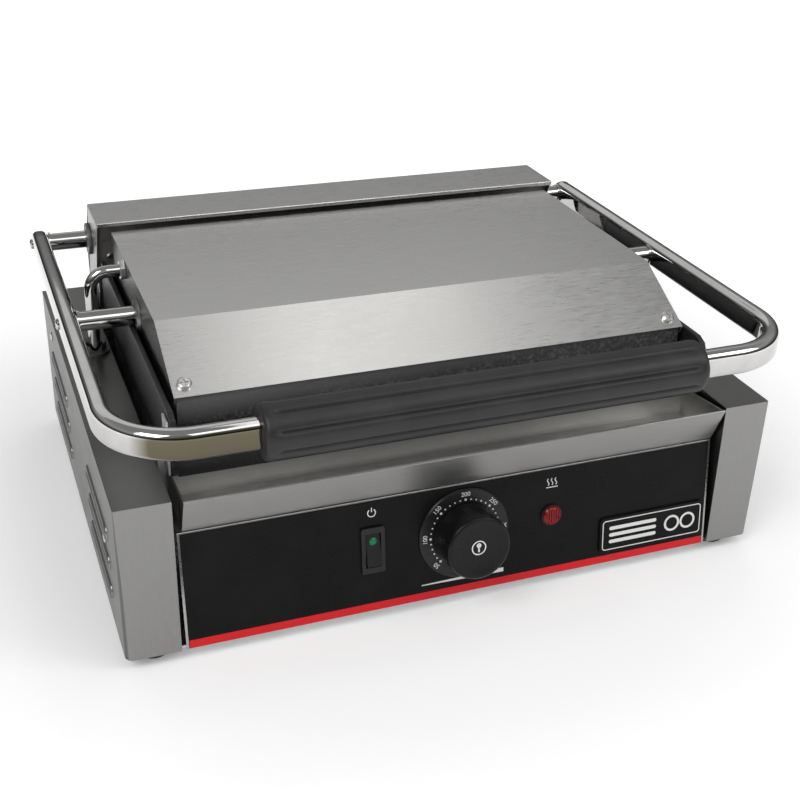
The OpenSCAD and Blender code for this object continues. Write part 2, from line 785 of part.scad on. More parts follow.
// rigid lead tube: out of the lid side, over an elbow, then down an arc into the side box
module conduit() {
    y = cond_y - cond_r;
    place() color([0.86, 0.86, 0.88]) {
        rod_x(-cond_x + elbow_r, -lid_w / 2 + 6, y, cond_z + elbow_r, cond_d);
        translate([-cond_x + elbow_r, y, cond_z]) rotate([90, 0, 0]) rotate([0, 0, 90])
            rotate_extrude(angle = 90) translate([elbow_r, 0]) circle(cond_d / 2);
        translate([-cond_x, cond_y, cond_z]) rotate([90, 0, 90]) rotate([0, 0, 180])
            rotate_extrude(angle = 67, $fn = 128) translate([cond_r, 0]) circle(cond_d / 2);
    }
}

module conduit_nut() {
    y = cond_y - cond_r;
    place() color([0.75, 0.75, 0.77]) difference() {
        translate([-lid_w / 2 - 3.5, y, cond_z + elbow_r]) rotate([0, 90, 0]) cylinder(d = 13, h = 3.5, $fn = 6);
        rod_x(-180, -140, y, cond_z + elbow_r, cond_d + 0.2);
    }
}

side_box_left();
side_box_right();
base_pan();
rear_panel();
control_panel();
panel_overlay();
badge();
plate_frame();
lower_plate();
splash_guard();
lower_element();
lower_clamp();
lower_insulation();
clamp_nuts();
thermostat();
thermostat_bulb();
dial_bezel();
switch_body();
lamp_body();
lamp_lens();
terminal_block();
cable_gland();
feet();
foot_screws();
side_screws();
hinge_cover();
hinge_side_left();
hinge_side_right();
hinge_baffle();
baffle_screws();
hinge_bushes();
hinge_springs();
conduit_gland();
handle_bar();
grip();
hinge_shaft();
lid_pins();
arm_screws();
lid_cover();
lid_bosses();
upper_plate();
upper_element();
upper_clamp();
upper_insulation();
lid_screws();
conduit();
conduit_nut();
knob();
spindle();
rocker();
rocker_lens();
drip_tray();
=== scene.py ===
"""A commercial contact grill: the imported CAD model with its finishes, and finer pieces where they show."""
import json
import math

import bmesh
import bpy
from mathutils import Matrix, Vector


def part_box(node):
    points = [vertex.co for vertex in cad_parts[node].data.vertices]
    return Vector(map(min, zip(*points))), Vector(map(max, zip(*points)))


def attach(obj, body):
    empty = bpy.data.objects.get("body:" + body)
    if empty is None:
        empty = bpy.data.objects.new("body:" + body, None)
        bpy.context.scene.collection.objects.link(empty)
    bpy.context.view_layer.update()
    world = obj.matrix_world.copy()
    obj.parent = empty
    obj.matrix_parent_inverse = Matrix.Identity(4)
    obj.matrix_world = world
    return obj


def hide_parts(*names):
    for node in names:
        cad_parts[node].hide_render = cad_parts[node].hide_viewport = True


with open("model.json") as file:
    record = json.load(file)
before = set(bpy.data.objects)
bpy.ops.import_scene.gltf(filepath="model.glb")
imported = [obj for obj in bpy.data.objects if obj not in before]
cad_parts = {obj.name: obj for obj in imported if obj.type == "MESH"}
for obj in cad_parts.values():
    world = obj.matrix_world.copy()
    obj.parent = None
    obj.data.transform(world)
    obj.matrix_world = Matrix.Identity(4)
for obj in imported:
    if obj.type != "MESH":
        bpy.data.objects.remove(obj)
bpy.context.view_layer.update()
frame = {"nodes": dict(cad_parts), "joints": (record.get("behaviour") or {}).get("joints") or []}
NODE = frame["nodes"]
JOINT = {j["name"]: j for j in frame["joints"]}

# ------------------------------------------------------------------ where things are
# Y0 and Z0: front and lower edge of the side boxes, from which the drawing's millimetres are counted
Y0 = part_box("side_box_left")[0].y
Z0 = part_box("side_box_left")[0].z
HALF_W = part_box("side_box_right")[1].x * 1000
IN = -Vector(JOINT["knob_turn"]["axis"]).normalized()      # out of the leaning panel
UP = Vector((0, IN.z, -IN.y))                              # up the leaning panel
HINGE = Vector(JOINT["handle_lift"]["pos_m"])
DIAL_U = 41.4
FILM = 0.6                                                 # thickness of the panel film, mm


def at(x, y, z):
    """Millimetres from the front lower edge of the body, as metres in the row's frame."""
    return Vector((x / 1000, Y0 + y / 1000, Z0 + z / 1000))


def on_panel(x, u, w=0.0):
    """Millimetres across, up and out of the leaning control panel, as metres in the row's frame."""
    return Vector((x / 1000, Y0, Z0)) + UP * (u / 1000) + IN * (w / 1000)


# ------------------------------------------------------------------ camera
CAM_TURN = (-21.33, 28.07, 1.79)         # azimuth, elevation and roll, degrees
CAM_TARGET = at(-9.83, 104.84, 80)
CAM_DISTANCE = 0.80314
SENSOR = 36                              # width, mm
LENS = 55.7694                           # focal length, mm
SHIFT = (0.0101375, 0.00285)             # of the lens axis from the middle, as a share of the width


def make_camera():
    data = bpy.data.cameras.new("camera")
    cam = bpy.data.objects.new("camera", data)
    bpy.context.scene.collection.objects.link(cam)
    az, el, roll = map(math.radians, CAM_TURN)
    eye = Vector((math.sin(az) * math.cos(el), -math.cos(az) * math.cos(el), math.sin(el)))
    cam.location = CAM_TARGET + eye * CAM_DISTANCE
    turn = (-eye).to_track_quat("-Z", "Y").to_matrix().to_4x4()
    cam.matrix_world = Matrix.Translation(cam.location) @ turn @ Matrix.Rotation(roll, 4, "Z")
    data.sensor_width = SENSOR
    data.lens = LENS
    data.shift_x, data.shift_y = SHIFT
    data.clip_start, data.clip_end = 0.05, 50
    bpy.context.scene.camera = cam


make_camera()


# ------------------------------------------------------------------ materials
class Mat:
    """A principled material with procedural detail in the object's own coordinates."""

    def __init__(self, name, color, metallic=0.0, roughness=0.5, **sockets):
        self.mat = bpy.data.materials.new(name)
        self.mat.use_nodes = True
        self.tree = self.mat.node_tree
        self.bsdf = self.tree.nodes["Principled BSDF"]
        self.bsdf.inputs["Base Color"].default_value = (*color, 1)
        self.bsdf.inputs["Metallic"].default_value = metallic
        self.bsdf.inputs["Roughness"].default_value = roughness
        for key, value in sockets.items():
            self.bsdf.inputs[key.replace("_", " ")].default_value = value
        self.coords = self.tree.nodes.new("ShaderNodeTexCoord")
        self.color = color

    def link(self, a, b):
        self.tree.links.new(a, b)

    def feed(self, socket, value):
        """Sets a socket to a number or a colour, or links another socket to it."""
        if isinstance(value, tuple):
            socket.default_value = (*value, 1)
        elif isinstance(value, (int, float)):
            socket.default_value = value
        else:
            self.link(value, socket)

    def math(self, op, a, b=None):
        n = self.tree.nodes.new("ShaderNodeMath")
        n.operation = op
        self.feed(n.inputs[0], a)
        if b is not None:
            self.feed(n.inputs[1], b)
        return n.outputs[0]

    def noise(self, scale, detail=4.0, rough=0.55):
        """Noise in the object's own coordinates; a triple of scales stretches it."""
        m = self.tree.nodes.new("ShaderNodeMapping")
        m.inputs["Scale"].default_value = scale if isinstance(scale, tuple) else (scale,) * 3
        self.link(self.coords.outputs["Object"], m.inputs["Vector"])
        n = self.tree.nodes.new("ShaderNodeTexNoise")
        n.inputs["Scale"].default_value = 1.0
        n.inputs["Detail"].default_value = detail
        n.inputs["Roughness"].default_value = rough
        n.inputs["Distortion"].default_value = 0.0
        self.link(m.outputs["Vector"], n.inputs["Vector"])
        return n.outputs["Fac"]

    def facing(self, axis, lo=0.6, hi=0.8):
        """1 where the surface faces along that axis of the object, 0 elsewhere."""
        s = self.tree.nodes.new("ShaderNodeSeparateXYZ")
        self.link(self.coords.outputs["Normal"], s.inputs[0])
        return self.span(self.math("ABSOLUTE", s.outputs[axis]), lo, hi, 0, 1)

    def along(self, axis, lo, hi, a=0.0, b=1.0):
        """A value that runs from a to b between two places along an axis, in metres."""
        s = self.tree.nodes.new("ShaderNodeSeparateXYZ")
        self.link(self.coords.outputs["Object"], s.inputs[0])
        return self.span(s.outputs[axis], lo, hi, a, b)

    def span(self, value, lo, hi, a=0.0, b=1.0):
        """Maps lo..hi of a value onto a..b, and holds it there beyond them."""
        n = self.tree.nodes.new("ShaderNodeMapRange")
        for i, v in enumerate((value, lo, hi, a, b)):
            self.feed(n.inputs[i], v)
        return n.outputs[0]

    def blend(self, factor, a, b):
        """A number between a and b."""
        n = self.tree.nodes.new("ShaderNodeMix")
        n.data_type = "FLOAT"
        for i, v in ((0, factor), (2, a), (3, b)):
            self.feed(n.inputs[i], v)
        return n.outputs[0]

    def tint(self, factor, a, b):
        """A colour between a and b."""
        n = self.tree.nodes.new("ShaderNodeMix")
        n.data_type = "RGBA"
        for i, v in ((0, factor), (6, a), (7, b)):
            self.feed(n.inputs[i], v)
        return n.outputs[2]

    def paint(self, color):
        self.link(color, self.bsdf.inputs["Base Color"])
        return self

    def rough(self, value):
        self.link(value, self.bsdf.inputs["Roughness"])
        return self

    def bump(self, height, strength=0.3, distance=0.0003):
        n = self.tree.nodes.new("ShaderNodeBump")
        n.inputs["Strength"].default_value = strength
        n.inputs["Distance"].default_value = distance
        self.link(height, n.inputs["Height"])
        self.link(n.outputs["Normal"], self.bsdf.inputs["Normal"])
        return self

    def edges(self, lo=0.52, hi=0.6):
        """1 on worn outer edges."""
        g = self.tree.nodes.new("ShaderNodeNewGeometry")
        return self.span(g.outputs["Pointiness"], lo, hi, 0, 1)


def shade(color, k):
    return tuple(c * k for c in color)


STRETCH = {0: (110, 1500, 1500), 1: (1500, 110, 1500), 2: (1500, 1500, 110)}   # grain along each axis
COARSER = 1.8                            # scale of the broader streaks, against the fine ones
BROAD_SHARE = 0.3
USED = (0.3, 0.7)                        # the part of a noise's range that carries detail
STREAK_TONES = (0.92, 1.05)
BRUSH_DEPTH = 0.0125                     # bump strength
BRUSH_RISE = 0.0002                      # bump distance, m


def streaks(m, axis):
    """Fine and broader streaks along an axis."""
    return m.noise(STRETCH[axis], 3, 0.6), m.noise(tuple(k / COARSER for k in STRETCH[axis]), 2, 0.5)


def brushed(name, color, grain, cross, cross_axis, rough=(0.24, 0.38), painted_shade_by_axis=None):
    """Brushed stainless steel: streaks along one axis, and another on the faces that look along cross_axis.

    The last argument paints shade: the faces that look along each axis it lists get darker copies of the
    streaked colour, by its factor, as painted shade for how the light falls on them.
    """
    m = Mat(name, color, 1.0, 0.3)
    side = m.facing(cross_axis)
    fine, broad = (m.blend(side, a, b) for a, b in zip(streaks(m, grain), streaks(m, cross)))
    streak = m.blend(BROAD_SHARE, fine, broad)
    level = m.span(streak, *USED)
    low, high = STREAK_TONES
    paint = m.tint(level, shade(color, low), shade(color, high))
    # painted shade: darker copies of the streaked colour on the faces that look along each listed axis
    for axis, k in (painted_shade_by_axis or {}).items():
        paint = m.tint(m.facing(axis), paint, m.tint(level, shade(color, low * k), shade(color, high * k)))
    m.paint(paint)
    cloud = m.span(m.noise(14, 3, 0.5), *USED, 0.94, 1.07)
    m.rough(m.math("MULTIPLY", cloud, m.span(streak, *USED, *rough)))
    return m.bump(streak, BRUSH_DEPTH, BRUSH_RISE).mat


STEEL = (0.60, 0.595, 0.58)
MATS = {}
# painted shade on the faces that look sideways in the lid and housing steel, and on the sides and tops in the
# box steel
MATS["lid_steel"] = brushed("lid_steel", STEEL, 0, 1, 0, painted_shade_by_axis={0: 0.2})
MATS["housing_steel"] = brushed("housing_steel", shade(STEEL, 0.95), 0, 1, 0, painted_shade_by_axis={0: 0.5})
MATS["box_steel"] = brushed("box_steel", shade(STEEL, 0.47), 1, 2, 1, (0.3, 0.44), {0: 0.5, 2: 0.68})


def tray_steel():
    """Brushed outside; within the tray, from the foot of the front wall back, paler towards the floor as
    painted light, and duller there too.
    """
    front_wall = (-0.134, -0.127)
    rim_to_floor = (0.099, 0.086)
    m = Mat("tray_steel", STEEL, 1.0, 0.4)
    streak = m.noise(STRETCH[0], 3, 0.6)
    level = m.span(streak, *USED)
    # painted light: mask for a paler copy of the steel within the tray, weak near the rim and full on the
    # floor
    painted_tray_light = m.math("MULTIPLY", m.along(1, *front_wall), m.along(2, *rim_to_floor, 0.12, 1))
    outer = m.tint(level, shade(STEEL, 0.54), shade(STEEL, 0.62))
    m.paint(m.tint(painted_tray_light, outer, m.tint(level, shade(STEEL, 1.4), shade(STEEL, 1.55))))
    m.rough(m.blend(painted_tray_light, m.span(streak, *USED, 0.36, 0.5), 0.6))
    return m.bump(streak, 0.01, BRUSH_RISE).mat


MATS["tray_steel"] = tray_steel()
MATS["panel_steel"] = brushed("panel_steel", shade(STEEL, 0.7), 0, 1, 0, (0.22, 0.34))


def plated(name, color, rough, spots=0.0, front=None):
    """Bright plating; front gives a painted reflection, warm and dark, on the front faces left of the middle.
    """
    m = Mat(name, color, 1.0, rough)
    grime = m.noise(60, 5, 0.6)
    m.rough(m.span(grime, 0.35, 0.75, rough, rough * 2.2 + 0.02))
    paint = m.tint(m.span(grime, 0.4, 0.8), color, shade(color, 0.88 - spots))
    if front:
        # painted reflection: a warm, dark surrounding mirrored on the front-facing faces left of the middle
        painted_reflection_mask = m.math("MULTIPLY", m.along(0, 0.02, -0.02), m.along(1, -0.115, -0.13))
        paint = m.tint(m.math("MULTIPLY", m.facing(1, 0.72, 0.86), painted_reflection_mask), paint, front)
    m.paint(paint)
    return m.bump(m.noise(700, 2, 0.5), 0.02, 0.0001).mat


CHROME = (0.56, 0.555, 0.545)
MATS["chrome"] = plated("chrome", CHROME, 0.035)
# the rail carries a painted reflection: warm and dark on its front faces left of the middle
MATS["rail_chrome"] = plated("rail_chrome", CHROME, 0.035, front=(0.13, 0.115, 0.08))
MATS["dull"] = plated("dull", (0.22, 0.22, 0.22), 0.42, 0.1)
MATS["baffle"] = plated("baffle", (0.5, 0.49, 0.46), 0.5, 0.1)
MATS["zinc"] = plated("zinc", (0.62, 0.62, 0.62), 0.3, 0.15)
MATS["nickel"] = plated("nickel", (0.72, 0.71, 0.69), 0.2, 0.1)
MATS["copper"] = plated("copper", (0.72, 0.38, 0.24), 0.3, 0.1)


def granular(name, dark, light, rough, depth, grain):
    """A coarse dark surface: cast iron or black enamel over it."""
    m = Mat(name, dark, 0.0, rough, Specular_IOR_Level=0.3)
    g = m.noise(grain, 5, 0.7)
    spots = m.math("MULTIPLY", m.span(g, 0.46, 0.72), 0.7)
    patches = m.math("MULTIPLY", m.span(m.noise(18, 4, 0.55), 0.4, 0.8), 0.3)
    worn = m.math("MAXIMUM", m.math("ADD", spots, patches), m.math("MULTIPLY", m.edges(), 0.8))
    m.paint(m.tint(worn, dark, light))
    m.rough(m.span(g, 0.3, 0.75, rough - 0.12, rough + 0.12))
    return m.bump(g, depth, 0.0006).mat


MATS["cast_iron"] = granular("cast_iron", (0.010, 0.010, 0.011), (0.115, 0.115, 0.118), 0.5, 0.9, 480)
MATS["enamel"] = granular("enamel", (0.009, 0.009, 0.010), (0.035, 0.035, 0.037), 0.42, 0.25, 300)


def moulded(name, color, rough, grain=900, depth=0.12, light=1.8, gloss=0.25):
    """Plastic, rubber, felt or ink: fine grain, and soiling that shifts the colour by the factor light."""
    m = Mat(name, color, 0.0, rough, Specular_IOR_Level=gloss)
    g = m.noise(grain, 3, 0.6)
    soil = m.noise(30, 4, 0.6)
    m.paint(m.tint(m.span(soil, 0.45, 0.8), color, shade(color, light)))
    uneven = m.math("ADD", m.math("MULTIPLY", g, 0.6), m.math("MULTIPLY", soil, 0.4))
    m.rough(m.span(uneven, *USED, rough - 0.08, rough + 0.1))
    return m.bump(g, depth, 0.0002).mat


MATS["film"] = moulded("film", (0.0058, 0.0058, 0.0064), 0.3, 1200, 0.05, 1.6, 0.1)
MATS["plastic"] = moulded("plastic", (0.011, 0.011, 0.0115), 0.3, 900, 0.1, 1.6, 0.3)
MATS["knob"] = moulded("knob", (0.007, 0.007, 0.008), 0.3, 1100, 0.08, 1.6, 0.2)
MATS["grip"] = moulded("grip", (0.016, 0.016, 0.017), 0.46, 700, 0.3, 2.0, 0.4)
MATS["rubber"] = moulded("rubber", (0.012, 0.012, 0.012), 0.75, 600, 0.3)
MATS["ivory"] = moulded("ivory", (0.68, 0.64, 0.54), 0.45, 500, 0.1, 0.85)
MATS["felt"] = moulded("felt", (0.66, 0.62, 0.52), 0.9, 400, 0.8, 0.8)
MATS["sheath"] = moulded("sheath", (0.10, 0.095, 0.09), 0.5, 400, 0.2)
MATS["white_ink"] = moulded("white_ink", (0.78, 0.78, 0.76), 0.45, 1500, 0.05, 0.93)
MATS["red_ink"] = moulded("red_ink", (0.66, 0.010, 0.015), 0.35, 900, 0.05, 0.95)


def lens(name, color, glow):
    """Translucent coloured plastic with a faint light of its own."""
    m = Mat(name, color, 0.0, 0.16, Specular_IOR_Level=0.25, Coat_Weight=0.05, Coat_Roughness=0.05,
            Subsurface_Weight=0.25, Subsurface_Radius=(0.004, 0.001, 0.001), Subsurface_Scale=0.5)
    m.bsdf.inputs["Emission Color"].default_value = (*color, 1)
    m.bsdf.inputs["Emission Strength"].default_value = glow
    m.paint(m.tint(m.span(m.noise(160, 3, 0.5), *USED), shade(color, 0.7), shade(color, 1.15)))
    return m.bump(m.noise(500, 2, 0.5), 0.05, 0.0002).mat


MATS["red_lens"] = lens("red_lens", (0.24, 0.008, 0.012), 0.03)
MATS["green_lens"] = lens("green_lens", (0.008, 0.16, 0.06), 0.06)


# ------------------------------------------------------------------ finish of each CAD node
SAME_POINT = 0.00001                     # vertices nearer than this are one, m
SAME_PLANE = math.radians(0.5)
SHARP = math.radians(20)                 # edges over this are rounded
SPLIT = math.radians(30)                 # edges over this stay crisp on nodes that aren't rounded
FACE_WEIGHT = 80


def finish_node(name, mat, bevel=0.0, flat=False):
    """Gives a CAD node its material and shading, and edges rounded by bevel millimetres where they show."""
    o = NODE[name]
    o.data.materials.clear()
    o.data.materials.append(MATS[mat])
    if "custom_normal" in o.data.attributes:
        o.data.attributes.remove(o.data.attributes["custom_normal"])
    if flat:
        o.data.shade_flat()
    else:
        o.data.shade_smooth()
    o.modifiers.new("weld", "WELD").merge_threshold = SAME_POINT
    if flat:
        planes = o.modifiers.new("planes", "DECIMATE")
        planes.decimate_type = "DISSOLVE"
        planes.angle_limit = SAME_PLANE
    if not bevel:
        o.modifiers.new("edge", "EDGE_SPLIT").split_angle = SPLIT
        return
    edge = o.modifiers.new("edge", "BEVEL")
    edge.width = bevel / 1000
    edge.segments = 2
    edge.limit_method = "ANGLE"
    edge.angle_limit = SHARP
    edge.use_clamp_overlap = True
    if not flat:
        o.modifiers.new("normals", "WEIGHTED_NORMAL").weight = FACE_WEIGHT


# node, material, bevel in millimetres, and whether every face is plane
FINISH = [
    ("side_box_left", "box_steel", 0.7), ("side_box_right", "box_steel", 0.7),
    ("base_pan", "zinc", 0), ("rear_panel", "housing_steel", 0.3, True),
    ("control_panel", "panel_steel", 0.4),
    ("panel_overlay", "film", 0.15), ("badge", "film", 0.5), ("plate_frame", "zinc", 0),
    ("lower_plate", "cast_iron", 0.4), ("splash_guard", "enamel", 0.8), ("lower_element", "sheath", 0),
    ("lower_clamp", "zinc", 0), ("lower_insulation", "felt", 0), ("clamp_nuts", "zinc", 0),
    ("thermostat", "ivory", 0.3), ("thermostat_bulb", "copper", 0), ("dial_bezel", "plastic", 0),
    ("switch_body", "plastic", 0.3), ("lamp_body", "plastic", 0.2), ("lamp_lens", "red_lens", 0.25),
    ("terminal_block", "ivory", 0.3), ("cable_gland", "plastic", 0.4), ("feet", "rubber", 0.5),
    ("foot_screws", "zinc", 0), ("side_screws", "nickel", 0.12), ("hinge_cover", "housing_steel", 0.9, True),
    ("hinge_side_left", "housing_steel", 0.3), ("hinge_side_right", "housing_steel", 0.3),
    ("hinge_baffle", "baffle", 0.3), ("baffle_screws", "nickel", 0), ("hinge_bushes", "dull", 0.4),
    ("hinge_springs", "sheath", 0), ("conduit_gland", "dull", 0.3), ("hinge_shaft", "chrome", 0.3),
    ("lid_pins", "chrome", 0.3), ("arm_screws", "chrome", 0.2), ("lid_cover", "lid_steel", 0.55, True),
    ("lid_bosses", "dull", 0.4), ("upper_plate", "cast_iron", 0.6), ("upper_element", "sheath", 0),
    ("upper_clamp", "zinc", 0), ("upper_insulation", "felt", 0), ("lid_screws", "nickel", 0.2),
    ("conduit_nut", "nickel", 0.3), ("spindle", "zinc", 0), ("rocker", "plastic", 0.4),
    ("rocker_lens", "green_lens", 0), ("drip_tray", "tray_steel", 0.3),
    ("handle_bar", "chrome", 0), ("grip", "grip", 0), ("conduit", "chrome", 0), ("knob", "knob", 0),
]
for row in FINISH:
    finish_node(*row)


# ------------------------------------------------------------------ mesh helpers
def piece(name, bm, mat, body, replaces=(), smooth=35):
    bmesh.ops.remove_doubles(bm, verts=bm.verts, dist=1e-7)
    bmesh.ops.recalc_face_normals(bm, faces=bm.faces)
    me = bpy.data.meshes.new(name)
    bm.to_mesh(me)
    bm.free()
    me.materials.append(MATS[mat])
    me.shade_smooth()
    me.set_sharp_from_angle(angle=math.radians(smooth))
    o = bpy.data.objects.new(name, me)
    bpy.context.scene.collection.objects.link(o)
    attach(o, body)
    if replaces:
        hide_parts(*replaces)
    return o


def circle_points(n):
    """Cosine and sine of n even steps round a circle."""
    return [(math.cos(2 * math.pi * i / n), math.sin(2 * math.pi * i / n)) for i in range(n)]


def loft(bm, rings):
    """Quads between closed rings of points; the end rings are filled."""
    made = [[bm.verts.new(p) for p in ring] for ring in rings]
    n = len(made[0])
    for a, b in zip(made, made[1:]):
        for i in range(n):
            j = (i + 1) % n
            bm.faces.new((a[i], a[j], b[j], b[i]))
    bm.faces.new(made[0])
    bm.faces.new(made[-1])


def rounded(w, h, r, steps=8):
    """Outline of a rounded rectangle as (a, b) pairs."""
    out = []
    for cx, cy, start in ((1, 1, 0), (-1, 1, 90), (-1, -1, 180), (1, -1, 270)):
        for i in range(steps + 1):
            t = math.radians(start + 90 * i / steps)
            out.append((cx * (w / 2 - r) + r * math.cos(t), cy * (h / 2 - r) + r * math.sin(t)))
    return out


def plate(bm, outline, place, thick):
    """A flat plate from an outline in its own plane; place(a, b, w) gives a point."""
    n = len(outline)
    low = [bm.verts.new(place(a, b, 0)) for a, b in outline]
    high = [bm.verts.new(place(a, b, thick)) for a, b in outline]
    for i in range(n):
        j = (i + 1) % n
        bm.faces.new((low[i], low[j], high[j], high[i]))
    bm.faces.new(low)
    bm.faces.new(high)


def ring_plate(bm, centre, r0, r1, place, thick, a0=0.0, a1=360.0, steps=64):
    """A flat ring or arc of a ring."""
    full = a1 - a0 >= 360
    n = steps if full else steps + 1
    angles = [math.radians(a0 + (a1 - a0) * i / steps) for i in range(n)]
    rows = []
    for r, w in ((r0, 0), (r0, thick), (r1, thick), (r1, 0)):
        ring = [(centre[0] + r * math.cos(t), centre[1] + r * math.sin(t)) for t in angles]
        rows.append([bm.verts.new(place(a, b, w)) for a, b in ring])
    for a, b in zip(rows, rows[1:] + rows[:1]):
        for i in range(n if full else n - 1):
            j = (i + 1) % n
            bm.faces.new((a[i], a[j], b[j], b[i]))
    if not full:
        bm.faces.new([r[0] for r in rows])
        bm.faces.new([r[-1] for r in rows])


def disc(bm, centre, r, place, thick, steps):
    plate(bm, [(centre[0] + r * c, centre[1] + r * q) for c, q in circle_points(steps)], place, thick)


def bar(bm, a, b, width, place, thick):
    """A straight stroke between two points."""
    d = Vector((b[0] - a[0], b[1] - a[1])).normalized() * width / 2
    n = Vector((-d.y, d.x))
    pts = [Vector(a) - d + n, Vector(a) - d - n, Vector(b) + d - n, Vector(b) + d + n]
    plate(bm, [(p.x, p.y) for p in pts], place, thick)


def stroke(bm, pts, width, place, thick):
    """A curved stroke through points."""
    left, right = [], []
    for i, p in enumerate(pts):
        q0, q1 = Vector(pts[max(i - 1, 0)]), Vector(pts[min(i + 1, len(pts) - 1)])
        d = (q1 - q0).normalized()
        n = Vector((-d.y, d.x)) * width / 2
        left.append(Vector(p) + n)
        right.append(Vector(p) - n)
    plate(bm, [(p.x, p.y) for p in left + right[::-1]], place, thick)


# ------------------------------------------------------------------ handle
RAIL_LO, RAIL_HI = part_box("handle_bar")
BAR_T = 0.011                            # thickness of the flat bar
ARM_X = RAIL_HI.x - BAR_T / 2            # middle of the right arm
BAR_Y = RAIL_LO.y + BAR_T / 2            # middle of the front bar
BEND = 0.0425                            # radius of the corners, to the bar's middle
BAR_H = RAIL_HI.z - RAIL_LO.z
BAR = rounded(BAR_T, BAR_H, 0.0046)


def handle_rail():
    """The bent bar, swept finely enough for mirror reflections."""
    path = []                              # (point, direction across the bar, height scale, width scale)
    for i in range(7):
        t = math.radians(90 - 15 * i)
        path.append((Vector((ARM_X, HINGE.y + BAR_H / 2 * math.sin(t), HINGE.z)), Vector((1, 0, 0)),
                     max(math.cos(t), 0.02), 1 - 0.25 * math.sin(t) ** 4))
    for i in range(1, 24):
        y = HINGE.y + (BAR_Y + BEND - HINGE.y) * i / 24
        path.append((Vector((ARM_X, y, HINGE.z)), Vector((1, 0, 0)), 1, 1))
    for i in range(25):
        t = math.radians(90 * i / 24)
        c = Vector((ARM_X - BEND, BAR_Y + BEND, HINGE.z))
        d = Vector((math.cos(t), -math.sin(t), 0))
        path.append((c + d * BEND, d, 1, 1))
    front = [(Vector((x, BAR_Y, HINGE.z)), Vector((0, -1, 0)), 1, 1) for x in (0.1, 0.0, -0.1)]
    flip = [(Vector((-p.x, p.y, p.z)), Vector((-d.x, d.y, d.z)), h, w) for p, d, h, w in reversed(path)]
    rings = []
    for p, d, h, w in path + front + flip:
        rings.append([p + d * a * w + Vector((0, 0, b * h)) for a, b in BAR])
    bm = bmesh.new()
    loft(bm, rings)
    return piece("handle_rail", bm, "rail_chrome", "handle", ["handle_bar"], 40)


handle_rail()


def grip_sleeve():
    """Sleeve with eight broad lobes between soft grooves that run out into a smooth collar at each end."""
    lo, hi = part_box("grip")
    r = (hi.z - lo.z) / 2
    lobes, per = 8, 20
    collar = 0.0045                      # length of the smooth end, and again of the run-out
    groove_depth, groove_width, flatness = 0.0011, 0.085, 0.0006
    length = hi.x - lo.x
    # distance from the end, and share of the full radius there
    ends = [(0.0, 0.60), (0.0, 0.84), (0.0005, 0.92), (0.0014, 0.965), (0.003, 0.99), (0.0045, 1.0),
            (0.006, 1.0), (0.0075, 1.0), (0.009, 1.0)]
    middle = [(length * i / 24, 1.0) for i in range(1, 24)]
    rings = []
    for x, k in ends + middle + [(length - x, k) for x, k in reversed(ends)]:
        deep = min(1.0, max(0.0, (min(x, length - x) - collar) / collar))
        ring = []
        for i in range(lobes * per):
            t = 2 * math.pi * (i + per / 2) / (lobes * per)
            f = (i % per) / per
            groove = groove_depth * math.exp(-((min(f, 1 - f) / groove_width) ** 2))
            rad = (r - deep * (groove + flatness * (2 * f - 1) ** 2)) * k
            ring.append(Vector((lo.x + x, BAR_Y + rad * math.cos(t), HINGE.z + rad * math.sin(t))))
        rings.append(ring)
    bm = bmesh.new()
    loft(bm, rings)
    return piece("grip_sleeve", bm, "grip", "handle", ["grip"], 60)


grip_sleeve()


def lead_tube():
    """Rigid tube from the lid, over an elbow and down into the side box."""
    y0, z0, rad = 320.9, 145.3, 129.8        # middle and radius of the arc down into the box, mm
    elbow, bend_x = 11, -173                 # radius of the elbow, and where it starts
    tube_r = 0.004
    pts = [at(x, y0 - rad, z0 + elbow) for x in (-155.5, -160, -165, -170)]
    for i in range(13):
        t = math.radians(90 * i / 12)
        pts.append(at(bend_x - elbow * math.sin(t), y0 - rad, z0 + elbow * math.cos(t)))
    for i in range(1, 41):
        t = math.radians(180 + 67 * i / 40)
        pts.append(at(bend_x - elbow, y0 + rad * math.cos(t), z0 + rad * math.sin(t)))
    rings = []
    side = Vector((0, 1, 0))
    for i, p in enumerate(pts):
        d = (pts[min(i + 1, len(pts) - 1)] - pts[max(i - 1, 0)]).normalized()
        side = (side - d * side.dot(d)).normalized()
        other = d.cross(side)
        rings.append([p + (side * c + other * q) * tube_r for c, q in circle_points(24)])
    bm = bmesh.new()
    loft(bm, rings)
    return piece("lead_tube", bm, "chrome", "lid", ["conduit"], 50)


lead_tube()


def cover_lip():
    """Rolled front edge of the hinge housing, which catches the light along its whole length."""
    lo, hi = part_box("hinge_cover")
    r, proud, inset = 0.00075, 0.0002, 0.0006
    y, z = lo.y + r - proud, hi.z - r
    rings = [[Vector((x, y + r * c, z + r * q)) for c, q in circle_points(16)]
             for x in (lo.x + inset, 0.0, hi.x - inset)]
    bm = bmesh.new()
    loft(bm, rings)
    return piece("cover_lip", bm, "nickel", "base", (), 60)


cover_lip()


# ------------------------------------------------------------------ controls
KNOB_W = 3.1                             # back of the knob, out of the panel, mm


